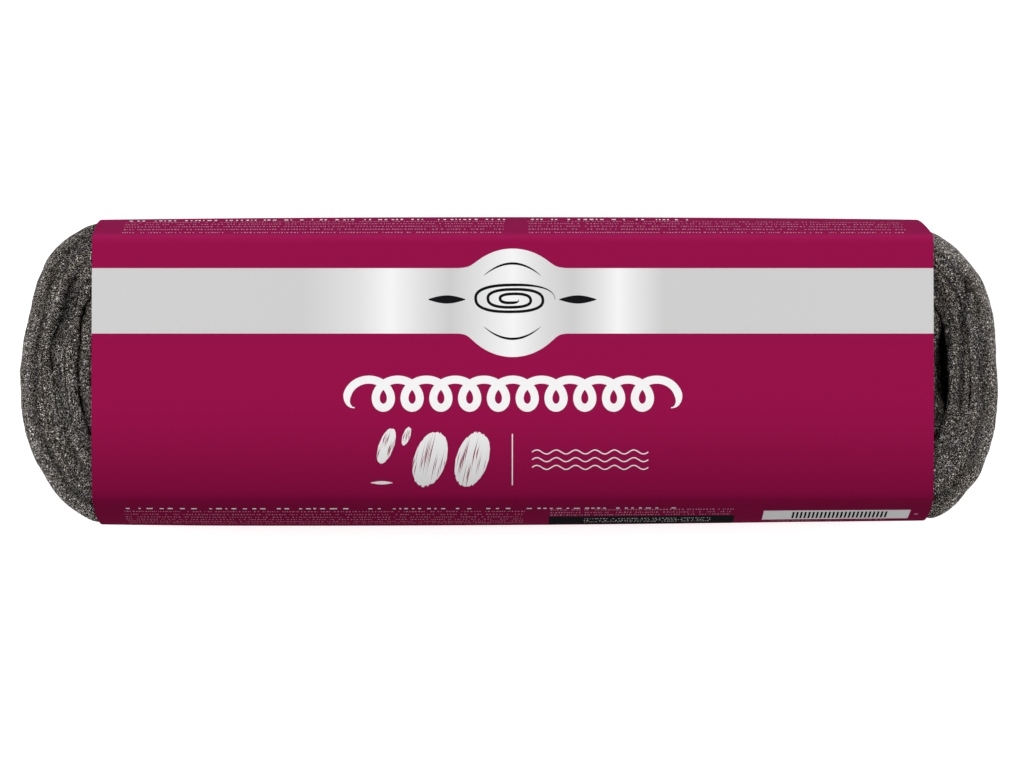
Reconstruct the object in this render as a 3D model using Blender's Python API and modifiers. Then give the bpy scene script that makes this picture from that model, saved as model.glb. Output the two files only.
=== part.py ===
"""Steel wool pad: one long ribbon of steel wool wound flat into a coil, held in a printed card sleeve.

Metres, +Z up. The pad lies on its back panel with the printed front panel up. X runs along the pad,
Y runs across it, and the origin is on the ground under the middle of the coil.
"""

import math

import bmesh
import bpy
import numpy as np

# The coil of steel wool
COIL_LENGTH = 0.301        # from tip to tip
COIL_WIDTH = 0.0925        # across the bulged sides, half way up
COIL_DEPTH = 0.0556        # width of the ribbon, which is the depth of the pad
SIDE_BULGE = 0.0072        # how far the sides swell past the flat faces
TURNS = 9                  # full turns of the ribbon, besides its two thin ends
LAYER_GAP = 0.0004         # half the parting between turns pressed together
OUTER_TURNS = 3            # turns that stand off the rest where they go round an end
RIGHT_HOLLOW = 0.0034      # how far they stand off at the right tip
LEFT_HOLLOW = 0.0010       # and at the left tip
END_LENGTH = 0.037         # length of each rounded end
END_FULLNESS = 2.5         # 2 is an ellipse, more is squarer
END_PINCH = 0.22           # how much an end draws back at the front and back faces
END_TAPER = 0.24           # how much thinner the pad is at a tip
EDGE_DOME = 0.0027         # height of the rounded edge of each turn
EDGE_UNEVEN = 0.045        # how unequally the turns' edges stand out
UNEVEN_WAVES = 1.62        # swells of the edges in each turn
TAIL_SHARE = 0.15          # thickness of the ribbon's torn ends, in turns
TAIL_PLACE = 0.325         # where in a turn the outer end lies, just past the right end

# The card sleeve
SLEEVE_LENGTH = 0.252
SLEEVE_SHIFT = 0.0012      # the sleeve's middle from the coil's middle
SLEEVE_BARREL = 0.0008     # how far the sides swell from mouth to middle
CARD_THICKNESS = 0.0005
CLEARANCE = 0.0003         # between card and wool
GLUE_GAP = 0.0003          # between the two layers of the glued lap
CREASE_SHARE = 0.07        # share of a side's half height taken by a rounded crease
CREASE_REACH = 0.0016      # how far a crease's rounding runs into a flat panel
FRONT_DROP = 0.0028        # how far the front panel falls away to its lower edge
DROP_START = 0.002         # the Y at which the front panel starts to fall away
SEAM_INSET = 0.022         # the outer flap's free edge, from the lower back crease
LAP_WIDTH = 0.015
JOGGLE = 0.003             # length of the inner flap's step up under the outer flap

# The printed silver band and its medallion, on the front panel
BAND_Y = 0.0200            # middle of the band
BAND_WIDTH = 0.0194
MEDALLION_Y = 0.0194       # centre of the round medallion
MEDALLION_RADIUS = 0.0161
MEDALLION_SOFTNESS = 0.0009    # rounding where its circle meets the band

# Facets
ARC_STEPS = 12
RUN_STEPS = 2
WALL_STEPS = 4
DOME_STEPS = 3
SIDE_STEPS = 7
CREASE_STEPS = 3
FIELD_STEPS = 4            # rows of faces in the plain field below the band
MEDALLION_STEPS = 14
PLAIN_STEPS = 5

# Where a turn's rounded ends and straight runs lie, as shares of the turn
ARC_SHARE = 0.35
RUN_SHARE = 0.15

COIL_BASE = 2 * CARD_THICKNESS + GLUE_GAP + CLEARANCE
COIL_TOP = COIL_BASE + COIL_DEPTH
COIL_MIDDLE = (COIL_BASE + COIL_TOP) / 2
SPINE = COIL_LENGTH / 2 - END_LENGTH
FACE_HALF = COIL_WIDTH / 2 - SIDE_BULGE
CARD_OFFSET = CLEARANCE + CARD_THICKNESS / 2


def front_fall(y):
    """How far the front panel and the wool behind it lie below the pad's top, at this Y."""
    share = np.clip((DROP_START - y) / (DROP_START + FACE_HALF), 0, 1)
    return FRONT_DROP * share**2


def height(y, level):
    """Z inside the pad: level -1 is the back face, 0 the middle and 1 the front face."""
    above = (COIL_TOP - front_fall(y) - COIL_MIDDLE) * level
    below = (COIL_MIDDLE - COIL_BASE) * level
    return COIL_MIDDLE + np.where(level > 0, above, below)


def side_reach(level):
    """Half the coil's width at this level: a parabola, widest half way up."""
    return COIL_WIDTH / 2 - SIDE_BULGE * level**2


def end_arc():
    """Points of a rounded end that reaches 1 along and 1 to each side: a superellipse, evenly stepped."""
    angle = np.linspace(-math.pi / 2, math.pi / 2, 2001)
    power = 2 / END_FULLNESS
    along = np.abs(np.cos(angle)) ** power
    across = np.sign(angle) * np.abs(np.sin(angle)) ** power
    travel = np.concatenate([[0], np.cumsum(np.hypot(np.diff(along), np.diff(across)))])
    even = np.linspace(0, travel[-1], ARC_STEPS + 1)
    return np.interp(even, travel, along), np.interp(even, travel, across)


def turn_stations():
    """One turn of the winding as rows of (share of the turn, spine X, along, across)."""
    along, across = end_arc()
    share = np.linspace(0, ARC_SHARE, ARC_STEPS + 1)
    run = np.linspace(0, 1, RUN_STEPS + 1)[1:-1]
    rows = []
    for side, start in ((1, 0.0), (-1, 0.5)):
        rows += [(start + f, side * SPINE, side * a, side * c) for f, a, c in zip(share, along, across)]
        rows += [(start + ARC_SHARE + r * RUN_SHARE, side * SPINE * (1 - 2 * r), 0.0, side) for r in run]
    return rows


def winding():
    """All stations of the ribbon from its outer end to its inner end, and how many turns are wound at each."""
    first, last = TAIL_PLACE, TAIL_PLACE + TURNS + 1 - 2 * TAIL_SHARE
    rows = [
        (turn + share, spine, along, across)
        for turn in range(math.ceil(last))
        for share, spine, along, across in turn_stations()
        if first <= turn + share <= last
    ]
    stations = np.array(rows)
    wound = stations[:, 0] - first + TAIL_SHARE
    return wound, *stations[:, 1:].T


def ribbon_section():
    """The ribbon's section as (across, level) points, -1 to 1: flat walls and domed edges."""
    dome = 2 * EDGE_DOME / COIL_DEPTH
    wall = [(1.0, level) for level in np.linspace(dome - 1, 1 - dome, WALL_STEPS + 1)]
    turn = np.linspace(0, math.pi, DOME_STEPS + 2)[1:-1]
    edge = [(math.cos(angle), 1 - dome + dome * math.sin(angle)) for angle in turn]
    half = wall + edge
    return np.array(half + [(-across, -level) for across, level in half])


def coil_points():
    """The ribbon's surface as a grid of points: one row for each station, one column for each section point."""
    wound, spine, along, across = (column[:, None] for column in winding())
    side, level = ribbon_section().T
    swell = 0.5 - 0.5 * np.cos(2 * math.pi * UNEVEN_WAVES * wound)
    outer = np.minimum(1, 1 - (wound - 1) / TURNS) - LAYER_GAP / COIL_WIDTH
    inner = np.maximum(0, 1 - wound / TURNS) + LAYER_GAP / COIL_WIDTH
    layer = (outer + inner) / 2 + side * (outer - inner) / 2
    hollow = np.where(along > 0, RIGHT_HOLLOW, LEFT_HOLLOW) * (wound > OUTER_TURNS + 0.75)
    reach = END_LENGTH * layer ** (COIL_WIDTH / 2 / END_LENGTH) - hollow
    x = spine + reach * along * (1 - END_PINCH * level**2)
    y = layer * across * side_reach(level)
    taper = 1 - END_TAPER * (reach * np.abs(along) / END_LENGTH) ** 3
    z = height(y, level * taper * (1 - EDGE_UNEVEN * swell))
    return np.stack([x, y, z], axis=-1)


def band_edges(x):
    """Lower and upper Y of the silver band, with its medallion, at this X from the sleeve's middle."""
    circle = math.sqrt(max(0, MEDALLION_RADIUS**2 - x**2))
    edges = []
    for way in (-1, 1):
        straight = BAND_WIDTH / 2 + way * (BAND_Y - MEDALLION_Y)
        outermost = (circle + straight + math.hypot(circle - straight, MEDALLION_SOFTNESS)) / 2
        edges.append(MEDALLION_Y + way * outermost)
    return edges


def crease(start, corner, end):
    """A rounded crease: points of a quadratic curve from start to end that bends towards the corner."""
    t = np.linspace(0, 1, CREASE_STEPS + 1)[:, None]
    start, corner, end = (np.array(point) for point in (start, corner, end))
    return (1 - t) ** 2 * start + 2 * t * (1 - t) * corner + t**2 * end


def side_wall(direction, barrel):
    """The card's bulged side from the back crease to the front crease, as (y, z) points."""
    level = np.linspace(CREASE_SHARE - 1, 1 - CREASE_SHARE, SIDE_STEPS + 1)
    y = direction * side_reach(level)
    swell = barrel * (1 - level**2)
    return np.stack([y + direction * (CARD_OFFSET + swell), height(y, level)], axis=1)


def front_z(y):
    return COIL_TOP - front_fall(y) + CARD_OFFSET


def sleeve_section(x):
    """The middle of the card's thickness at this X from the sleeve's middle.

    The (y, z) points run from the inner flap's edge round the pad to the outer flap's edge.
    """
    barrel = SLEEVE_BARREL * (1 - (x / (SLEEVE_LENGTH / 2)) ** 2)
    fold_y = FACE_HALF + CARD_OFFSET
    panel_y = fold_y - CREASE_REACH
    back_z = CARD_THICKNESS / 2
    flap_z = back_z + CARD_THICKNESS + GLUE_GAP
    seam_y = SEAM_INSET - fold_y
    lower, upper = side_wall(-1, barrel), side_wall(1, barrel)[::-1]
    band_low, band_high = band_edges(x)
    field = np.linspace(-panel_y, band_low, FIELD_STEPS + 1)[1:]
    front_y = np.array([*field, BAND_Y, band_high])
    return np.concatenate(
        [
            [(seam_y + LAP_WIDTH, flap_z), (seam_y, flap_z), (seam_y - JOGGLE, back_z)],
            crease((-panel_y, back_z), (-fold_y, back_z), lower[0]),
            lower[1:-1],
            crease(lower[-1], (-fold_y, front_z(-fold_y)), (-panel_y, front_z(-panel_y))),
            np.stack([front_y, front_z(front_y)], axis=1),
            crease((panel_y, front_z(panel_y)), (fold_y, front_z(fold_y)), upper[0]),
            upper[1:-1],
            crease(upper[-1], (fold_y, back_z), (panel_y, back_z)),
            [(seam_y, back_z)],
        ]
    )


def sleeve_stations():
    """X of each section from the sleeve's middle: close together across the medallion."""
    mouth = SLEEVE_LENGTH / 2
    plain = np.linspace(MEDALLION_RADIUS, mouth, PLAIN_STEPS + 1)[1:]
    middle = MEDALLION_RADIUS * np.sin(np.linspace(-math.pi / 2, math.pi / 2, MEDALLION_STEPS + 1))
    return np.concatenate([-plain[::-1], middle, plain])


def sleeve_points():
    """The card's middle surface as a grid of points: one row for each X, one column for each section point."""
    rows = []
    for x in sleeve_stations():
        section = sleeve_section(x)
        rows.append(np.column_stack([np.full(len(section), x), section]))
    return np.array(rows)


def grid_mesh(name, points, closed_across):
    """A loft through the rows of a grid. With closed_across each row is a ring, and the end rings are capped."""
    rows, columns = points.shape[:2]
    body = bmesh.new()
    grid = [[body.verts.new(point) for point in row] for row in points]
    spans = columns if closed_across else columns - 1
    for r in range(rows - 1):
        for c in range(spans):
            n = (c + 1) % columns
            body.faces.new((grid[r][c], grid[r + 1][c], grid[r + 1][n], grid[r][n]))
    if closed_across:
        body.faces.new(grid[0])
        body.faces.new(grid[-1])
        bmesh.ops.triangulate(body, faces=[face for face in body.faces if len(face.verts) > 4])
    bmesh.ops.recalc_face_normals(body, faces=body.faces)
    mesh = bpy.data.meshes.new(name)
    body.to_mesh(mesh)
    body.free()
    mesh.shade_smooth()
    return mesh


def material(name, colour, roughness, metallic):
    made = bpy.data.materials.new(name)
    made.use_nodes = True
    shader = made.node_tree.nodes["Principled BSDF"]
    shader.inputs["Base Color"].default_value = (*colour, 1)
    shader.inputs["Roughness"].default_value = roughness
    shader.inputs["Metallic"].default_value = metallic
    made.diffuse_color = (*colour, 1)
    return made


def make_coil(collection):
    """The wool: a ribbon wound round itself, with rounded turns that show at both ends."""
    mesh = grid_mesh("steel_wool_coil", coil_points(), closed_across=True)
    mesh.materials.append(material("steel_wool", (0.115, 0.107, 0.098), 0.55, 0.85))
    coil = bpy.data.objects.new("steel_wool_coil", mesh)
    collection.objects.link(coil)


def make_sleeve(collection):
    """The wrapper: one sheet of card creased round the coil and glued to itself behind it."""
    mesh = grid_mesh("card_sleeve", sleeve_points(), closed_across=False)
    mesh.materials.append(material("crimson_print", (0.305, 0.0065, 0.067), 0.38, 0.0))
    mesh.materials.append(material("silver_print", (0.63, 0.63, 0.63), 0.3, 0.6))
    mesh.set_sharp_from_angle(angle=math.radians(40))
    for face in mesh.polygons:
        x, y, z = face.center
        low, high = band_edges(x)
        face.material_index = int(z > COIL_TOP and low < y < high)
    sleeve = bpy.data.objects.new("card_sleeve", mesh)
    sleeve.location.x = SLEEVE_SHIFT
    collection.objects.link(sleeve)
    card = sleeve.modifiers.new("card", "SOLIDIFY")
    card.thickness = CARD_THICKNESS
    card.offset = 0
    card.use_even_offset = True


for leftover in list(bpy.data.objects):
    bpy.data.objects.remove(leftover)
pad = bpy.data.collections.new("steel_wool_pad")
bpy.context.scene.collection.children.link(pad)
make_coil(pad)
make_sleeve(pad)
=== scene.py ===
"""The looks of a steel wool pad: a flat coil of steel wool in a printed card sleeve, lying on its back.

Each section makes one piece and says how the real one is made. All lengths are in metres, in the part's own
frame, apart from the tables whose comment gives them in millimetres.
"""

import itertools
import math

import bpy
import numpy as np
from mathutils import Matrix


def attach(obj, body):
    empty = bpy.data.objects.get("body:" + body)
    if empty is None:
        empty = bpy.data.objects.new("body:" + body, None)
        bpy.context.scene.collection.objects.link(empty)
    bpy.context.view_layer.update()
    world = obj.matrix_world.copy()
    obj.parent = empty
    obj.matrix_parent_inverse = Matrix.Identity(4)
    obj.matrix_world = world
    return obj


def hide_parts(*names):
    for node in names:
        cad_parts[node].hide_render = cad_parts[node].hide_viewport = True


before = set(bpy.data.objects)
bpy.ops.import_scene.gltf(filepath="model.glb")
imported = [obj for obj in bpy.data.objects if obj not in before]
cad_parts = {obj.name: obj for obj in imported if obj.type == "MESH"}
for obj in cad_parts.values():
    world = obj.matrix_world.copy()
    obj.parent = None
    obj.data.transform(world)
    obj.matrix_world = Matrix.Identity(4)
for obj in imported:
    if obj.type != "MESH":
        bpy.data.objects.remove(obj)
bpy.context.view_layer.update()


# The steel wool is one long ribbon of crimped steel fibre, as wide as the pad is deep, wound flat round
# itself without a core. Its turns press together inside the sleeve, and part a little past its mouths.

# The whole coil. Its front falls by FRONT_DROP between Y of DROP_START and the lower crease.
COIL_LENGTH = 0.301
COIL_WIDTH = 0.0925
COIL_BASE, COIL_TOP = 0.0016, 0.0572
SIDE_BULGE = 0.0072
FRONT_DROP = 0.0028
DROP_START = 0.002

# The winding. The outer tail starts at TAIL_PLACE of a turn, TAIL_SHARE as thick as a full layer, and the
# round of an end takes ARC_SHARE of a half turn.
TURNS = 9
TAIL_SHARE = 0.15
TAIL_PLACE = 0.325
WOUND_TURNS = TURNS + 0.9 - 3 * TAIL_SHARE
ARC_SHARE = 0.7
ARC_LENGTH = 0.125

# The ends: superellipses that pinch in towards both faces and grow thinner towards their tips.
END_LENGTH = 0.037
END_FULLNESS = 2.5
END_PINCH = 0.22
END_TAPER = 0.24

# The turns part by LAYER_GAP where the crease between them is EDGE_DOME deep, and stand out unequally.
LAYER_GAP = 0.0004
EDGE_DOME = 0.0027
EDGE_UNEVEN = 0.045
UNEVEN_WAVES = 1.62

# The inner turns, from HOLLOW_START turns in, draw back from the outer ones at both ends.
HOLLOW_START = 3.75
HOLLOW_PLACE, HOLLOW_SPREAD = 0.04, 0.40
RIGHT_HOLLOW, LEFT_HOLLOW = 0.0034, 0.0006

# The sleeve, and how far it presses the coil's sides in: the lower one by a table of X and depth.
SLEEVE_LENGTH = 0.252
SLEEVE_SHIFT = 0.0012
MOUTH_EASE = 0.002
LOWER_SQUEEZE = ((-0.093, 0.0), (0.087, 0.0012))
UPPER_SQUEEZE = 0.0004

COIL_MIDDLE = (COIL_BASE + COIL_TOP) / 2
SPINE = COIL_LENGTH / 2 - END_LENGTH
FACE_HALF = COIL_WIDTH / 2 - SIDE_BULGE

# Folds on the front face, in millimetres: rise and half width, and the line in plan that each follows.
FOLDS = (
    (
        (-1.4, 1.2),
        ((-130.4, 25.8), (-132.0, 20.4), (-134.9, 15.6), (-136.4, 12.0), (-137.3, 8.4), (-137.6, 0.6)),
    ),
    ((-0.8, 1.5), ((-130.4, 20.4), (-132.8, 15.0), (-134.6, 9.0))),
    (
        (1.0, 0.7),
        ((-134.6, 22.8), (-136.1, 19.2), (-137.6, 15.6), (-138.8, 12.0), (-139.6, 8.4), (-140.3, 4.8)),
    ),
    (
        (0.8, 1.1),
        ((-129.6, 17.4), (-131.7, 9.9), (-132.2, 0.9), (-131.3, -9.6), (-129.6, -20.1), (-127.5, -27.6)),
    ),
    ((-0.7, 0.85), ((-141.8, 11.4), (-142.5, 2.4), (-141.8, -8.1))),
    ((-0.9, 0.9), ((-135.2, 0.9), (-134.7, -9.6), (-132.8, -18.6), (-129.8, -27.9))),
    (
        (-1.4, 0.7),
        ((137.1, 29.4), (137.7, 20.4), (136.8, 15.0), (136.5, 6.9), (136.2, -1.2), (135.6, -13.5)),
    ),
    ((0.5, 1.0), ((139.5, 24.9), (138.9, 14.4), (138.6, 2.4))),
    ((-0.6, 0.8), ((141.3, 19.8), (140.1, 15.0), (139.5, 9.9))),
    ((-1.4, 2.1), ((128.5, 25.5), (130.4, 19.2), (131.6, 11.4), (130.0, 4.9), (129.3, -5.3))),
    ((-1.8, 2.0), ((129.4, -8.1), (128.5, -13.2), (127.6, -18.6), (127.0, -23.1))),
)

# Places where the front lies off its even winding, in millimetres: shift along X, centre and reach.
WARPS = (
    (-2.0, (-135.8, 7.2), (3.0, 7.0)),
    (-1.2, (-125.0, 23.4), (4.0, 6.0)),
    (-1.4, (-127.0, 14.0), (3.0, 7.0)),
    (-1.5, (-124.7, -20.4), (4.0, 7.0)),
    (0.5, (130.5, -0.6), (5.0, 14.0)),
    (-0.9, (136.9, 15.0), (2.6, 8.0)),
)

# How far each end stands out past its even curve in millimetres, by the place across from -1 to 1.
LEFT_TRIM = (
    (-1.00, 3.0),
    (-0.93, 1.6),
    (-0.86, 0.2),
    (-0.78, -0.9),
    (-0.68, -1.2),
    (-0.50, -0.6),
    (-0.25, -0.3),
    (0.00, -0.2),
    (0.20, -1.0),
    (0.32, -1.8),
    (0.42, -2.1),
    (0.55, -1.6),
    (0.66, -1.3),
    (0.74, -0.3),
    (0.85, 0.4),
    (1.00, 1.5),
)
RIGHT_TRIM = (
    (-1.00, 0.5),
    (-0.90, 2.4),
    (-0.80, 1.0),
    (-0.70, 1.1),
    (-0.60, 0.2),
    (-0.10, -0.2),
    (0.10, -0.5),
    (0.25, -0.3),
    (0.45, 0.1),
    (0.60, 0.2),
    (0.75, -0.8),
    (0.85, -1.3),
    (1.00, -0.8),
)

# Depth in millimetres of the crease between two turns, by how many turns lie outside it.
CREASES = (
    (0.00, 2.7),
    (0.15, 0.5),
    (0.90, 0.4),
    (1.06, 1.0),
    (1.17, 0.4),
    (1.38, 0.4),
    (1.40, 1.4),
    (1.43, 2.3),
    (1.47, 1.4),
    (1.51, 0.4),
    (1.62, 0.4),
    (1.88, 0.5),
    (2.00, 1.2),
    (2.10, 0.9),
    (2.18, 0.4),
    (2.40, 0.4),
    (2.56, 0.9),
    (2.66, 0.4),
    (2.86, 1.5),
    (3.00, 2.7),
    (3.15, 1.5),
    (3.35, 1.7),
    (3.50, 2.3),
    (3.66, 1.6),
    (4.00, 1.0),
)

# Swellings of the outer turns past the mouths: side, then height, centre along X and reach in millimetres.
SHOULDERS = (
    (-1, 1.4, -127.0, 4.5),
    (-1, 1.4, 131.5, 4.5),
    (1, 0.8, -127.5, 4.5),
)


def front_fall(y):
    """How far the front lies below the pad's top: the square of the way to the lower crease."""
    return FRONT_DROP * np.clip((DROP_START - y) / (DROP_START + FACE_HALF), 0, 1) ** 2


def height(y, level):
    """Z between the back face at level -1, the middle at 0 and the front face at 1."""
    above = (COIL_TOP - front_fall(y) - COIL_MIDDLE) * level
    return COIL_MIDDLE + np.where(level > 0, above, (COIL_MIDDLE - COIL_BASE) * level)


def side_reach(level):
    """Half the coil's width, a parabola that is widest half way up."""
    return COIL_WIDTH / 2 - SIDE_BULGE * level**2


def squeeze(x, side):
    """How far the sleeve presses a side in: a little above, and below more and more towards the right."""
    return np.where(np.asarray(side) > 0, UPPER_SQUEEZE, np.interp(x, *np.array(LOWER_SQUEEZE).T))


def shoulder(x, y):
    """How far the outer turns swell across the pad just past a mouth: bell curves along X."""
    swell = np.zeros(x.shape)
    for side, rise, centre, reach in SHOULDERS:
        outer = np.clip(side * y / FACE_HALF, 0, 1) ** 4
        swell += side * rise / 1000 * outer * np.exp(-(((x * 1000 - centre) / reach) ** 2))
    return swell


def half_turn(share):
    """Spine X, along and across at a share of a turn.

    Each half turn is a superellipse end, evenly travelled for ARC_SHARE of it, and then a straight run.
    """
    angle = np.linspace(-math.pi / 2, math.pi / 2, 4001)
    arc_along = np.abs(np.cos(angle)) ** (2 / END_FULLNESS)
    arc_across = np.sign(angle) * np.abs(np.sin(angle)) ** (2 / END_FULLNESS)
    travel = np.concatenate([[0], np.cumsum(np.hypot(np.diff(arc_along), np.diff(arc_across)))])
    side = np.where(np.floor(share * 2) % 2 == 0, 1.0, -1.0)
    step = (share * 2) % 1
    arc = np.clip(step / ARC_SHARE, 0, 1) * travel[-1]
    run = np.clip((step - ARC_SHARE) / (1 - ARC_SHARE), 0, 1)
    spine = side * SPINE * (1 - 2 * run)
    return spine, side * np.interp(arc, travel, arc_along), side * np.interp(arc, travel, arc_across)


def wound_stations(fine, coarse, fine_turns):
    """Turns wound at each station: close together round the ends, and coarse in the hidden turns."""
    shares = []
    for half in range(2 * (TURNS + 2)):
        steps = fine if half < 2 * fine_turns else coarse
        arc = np.linspace(0, ARC_SHARE, steps + 1)
        run = ARC_SHARE + (1 - ARC_SHARE) * np.array([0.33, 0.67])
        shares.append((half + np.concatenate([arc, run])) / 2)
    share = np.concatenate(shares)
    return share[(share >= TAIL_PLACE) & (share <= TAIL_PLACE + WOUND_TURNS)]


def ribbon_section(wall_steps, dome_steps):
    """The ribbon's section as (side, level) from -1 to 1: two walls, and two edges evenly turned."""
    wall = np.linspace(-1, 1, wall_steps + 1)
    turn = np.cos(np.linspace(0, math.pi, dome_steps + 2)[1:-1])
    side = np.concatenate([np.ones(wall_steps + 1), turn])
    level = np.concatenate([wall, np.ones(dome_steps)])
    return np.concatenate([side, -side]), np.concatenate([level, -level])


def crease_depth(boundary):
    """Depth in metres of the crease between two turns, from the table by how many turns lie outside it."""
    turns, depths = np.array(CREASES).T
    return np.interp(boundary, turns, depths) / 1000


def crease_fall(wound, side):
    """How far a turn's edge rounds down to its creases: a quarter circle, scaled to their depth."""
    return crease_depth(wound - (side > 0)) * (1 - np.sqrt(np.clip(1 - side**2, 0, 1)))


def edge_fall(wound, side):
    """How far a turn's edge falls below the face, as a share of the half depth.

    The turns stand out unequally and meet half way, besides their creases.
    """
    turns = (wound, wound - np.sign(side))
    own, beside = (0.5 - 0.5 * np.cos(2 * math.pi * UNEVEN_WAVES * turn) for turn in turns)
    uneven = EDGE_UNEVEN * (own + side**2 * (beside - own) / 2)
    return uneven + crease_fall(wound, side) / (COIL_TOP - COIL_MIDDLE)


def noise(points, cell, seed):
    """A smooth field from -1 to 1: random values on a lattice of these cells, eased between its corners."""
    size = 32
    table = np.random.default_rng(seed).uniform(-1, 1, (size, size, size))
    q = points / np.asarray(cell)
    low = np.floor(q).astype(int)
    ease = (q - low) ** 2 * (3 - 2 * (q - low))
    total = np.zeros(points.shape[:-1])
    for corner in itertools.product((0, 1), repeat=3):
        i, j, k = np.moveaxis((low + corner) % size, -1, 0)
        total += table[i, j, k] * np.prod(np.where(corner, ease, 1 - ease), axis=-1)
    return total


def grid_normals(points):
    """Unit normals of a grid of points, from the cross product of its two steps."""
    down = np.gradient(points, axis=0)
    ring = np.concatenate([points[:, -1:], points, points[:, :1]], axis=1)
    across = (ring[:, 2:] - ring[:, :-2]) / 2
    normal = np.cross(across, down)
    return normal / np.maximum(np.linalg.norm(normal, axis=-1, keepdims=True), 1e-12)


def trim(along, across):
    """How far an end stands out past its even curve: from the tables, fading where it turns in."""
    left, right = (np.interp(across, *np.array(table).T) / 1000 for table in (LEFT_TRIM, RIGHT_TRIM))
    return np.where(along > 0, right, -left) * np.sqrt(np.abs(along))


def warp(x, y):
    """How far the front shifts along X: bell curves round the places in WARPS."""
    shift = np.zeros(np.broadcast(x, y).shape)
    for along, centre, reach in WARPS:
        off = (x * 1000 - centre[0]) / reach[0], (y * 1000 - centre[1]) / reach[1]
        shift += along / 1000 * np.exp(-(off[0] ** 2) - off[1] ** 2)
    return shift


def wound_ribbon(share, side, level):
    """The ribbon's surface: rows along the winding, columns round its section.

    The layer falls by one part in TURNS for each turn and sets how far out a point lies. Its ends draw back
    and thin towards the tips, and the inner turns keep off the outer ones most at HOLLOW_PLACE across the
    right end. The sleeve holds the sides in between its mouths. With each point goes its place on the ribbon
    itself: the way wound, the way out from the middle, and Z.
    """
    spine, along, across = (column[:, None] for column in half_turn(share))
    wound = share[:, None] - TAIL_PLACE + TAIL_SHARE
    parting = LAYER_GAP / COIL_WIDTH / EDGE_DOME
    outer = np.minimum(1, 1 - (wound - 1) / TURNS) - parting * crease_depth(wound - 1)
    inner = np.maximum(0, 1 - wound / TURNS) + parting * crease_depth(wound)
    layer = (outer + inner) / 2 + side * (outer - inner) / 2
    right = RIGHT_HOLLOW * np.exp(-(((across - HOLLOW_PLACE) / HOLLOW_SPREAD) ** 4))
    hollow = np.where(along > 0, right, LEFT_HOLLOW) * (wound > HOLLOW_START)
    reach = END_LENGTH * layer ** (COIL_WIDTH / 2 / END_LENGTH) - hollow
    taper = 1 - END_TAPER * (reach * np.abs(along) / END_LENGTH) ** 3
    level = level * (1 - edge_fall(wound, side))
    x = spine + reach * along * (1 - END_PINCH * level**2) + layer * trim(along, across)
    inside = SLEEVE_LENGTH / 2 - np.abs(x - SLEEVE_SHIFT)
    held = np.clip((inside + MOUTH_EASE) / (2 * MOUTH_EASE), 0, 1) * (1 - level**2)
    y = layer * across * (side_reach(level) - squeeze(x, across) * held)
    y = y + shoulder(x, y)
    z = height(y, level * taper)
    x = x + warp(x, y) * np.clip(level, 0, 1) ** 2
    travel = np.broadcast_to(2 * ARC_LENGTH / ARC_SHARE * wound, x.shape)
    return np.stack([x, y, z], axis=-1), np.stack([travel, layer * COIL_WIDTH / 2, z], axis=-1)


def fold_rise(points, level):
    """Height of the folds on the front face: each is a bell curve of the distance from its line in plan."""
    rise = np.zeros(points.shape[:-1])
    for (fold_height, half_width), line in FOLDS:
        line = np.array(line) / 1000
        start, step = line[:-1], np.diff(line, axis=0)
        place = points[..., None, :2] - start
        share = np.clip((place * step).sum(-1) / (step**2).sum(-1), 0, 1)
        gap = np.linalg.norm(place - share[..., None] * step, axis=-1).min(-1)
        rise += fold_height / 1000 * np.exp(-((gap * 1000 / half_width) ** 2))
    return rise * np.clip(level, 0, 1) ** 4


# Lumps of the surface as (height, size of a cell, seed): along the ribbon's own winding, and in plain space.
PLY_LUMPS = (
    (0.00030, (0.026, 0.006, 0.009), 1),
    (0.00022, (0.016, 0.0019, 0.0022), 2),
    (0.00010, (0.0070, 0.0010, 0.0011), 3),
)
MAT_LUMPS = (
    (0.00020, 0.0055, 4),
    (0.00013, 0.0024, 6),
    (0.00006, 0.0009, 5),
)


def matted(points, ply):
    """The surface with its lumps: soft folds and strands that run with the winding, and fine matting."""
    normal = grid_normals(points)
    rise = np.zeros(points.shape[:-1])
    for place, lumps in ((ply, PLY_LUMPS), (points, MAT_LUMPS)):
        for lump_height, cell, seed in lumps:
            rise += lump_height * noise(place, cell, seed)
    return points + normal * rise[..., None]


def grid_mesh(name, points, ring=False, capped=False):
    """A mesh of four-sided faces over a grid of points. A ring joins its last column to its first."""
    rows, columns = points.shape[:2]
    index = np.arange(rows * columns).reshape(rows, columns)
    right = np.roll(index, -1, axis=1) if ring else index[:, 1:]
    left = index if ring else index[:, :-1]
    faces = np.stack([left[:-1], left[1:], right[1:], right[:-1]], axis=-1).reshape(-1, 4).tolist()
    if capped:
        faces += [index[0].tolist(), index[-1][::-1].tolist()]
    mesh = bpy.data.meshes.new(name)
    mesh.from_pydata(points.reshape(-1, 3), [], faces)
    mesh.shade_smooth()
    return mesh


def point_value(mesh, name, values):
    """A value on each point of the mesh, for its material."""
    values = np.ravel(values).astype(np.float32)
    mesh.attributes.new(name, "FLOAT", "POINT").data.foreach_set("value", values)


def piece(name, mesh, *materials):
    """A shown piece of the pad with its materials, which moves with the pad."""
    for finish in materials:
        mesh.materials.append(finish)
    made = bpy.data.objects.new(name, mesh)
    bpy.context.scene.collection.objects.link(made)
    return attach(made, "root")


def new_material(name, **sockets):
    """A material with its Principled shader's sockets set, and its node tree to build on."""
    made = bpy.data.materials.new(name)
    made.use_nodes = True
    shader = made.node_tree.nodes["Principled BSDF"]
    for socket, value in sockets.items():
        shader.inputs[socket.replace("_", " ")].default_value = value
    return made, made.node_tree, shader


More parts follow.
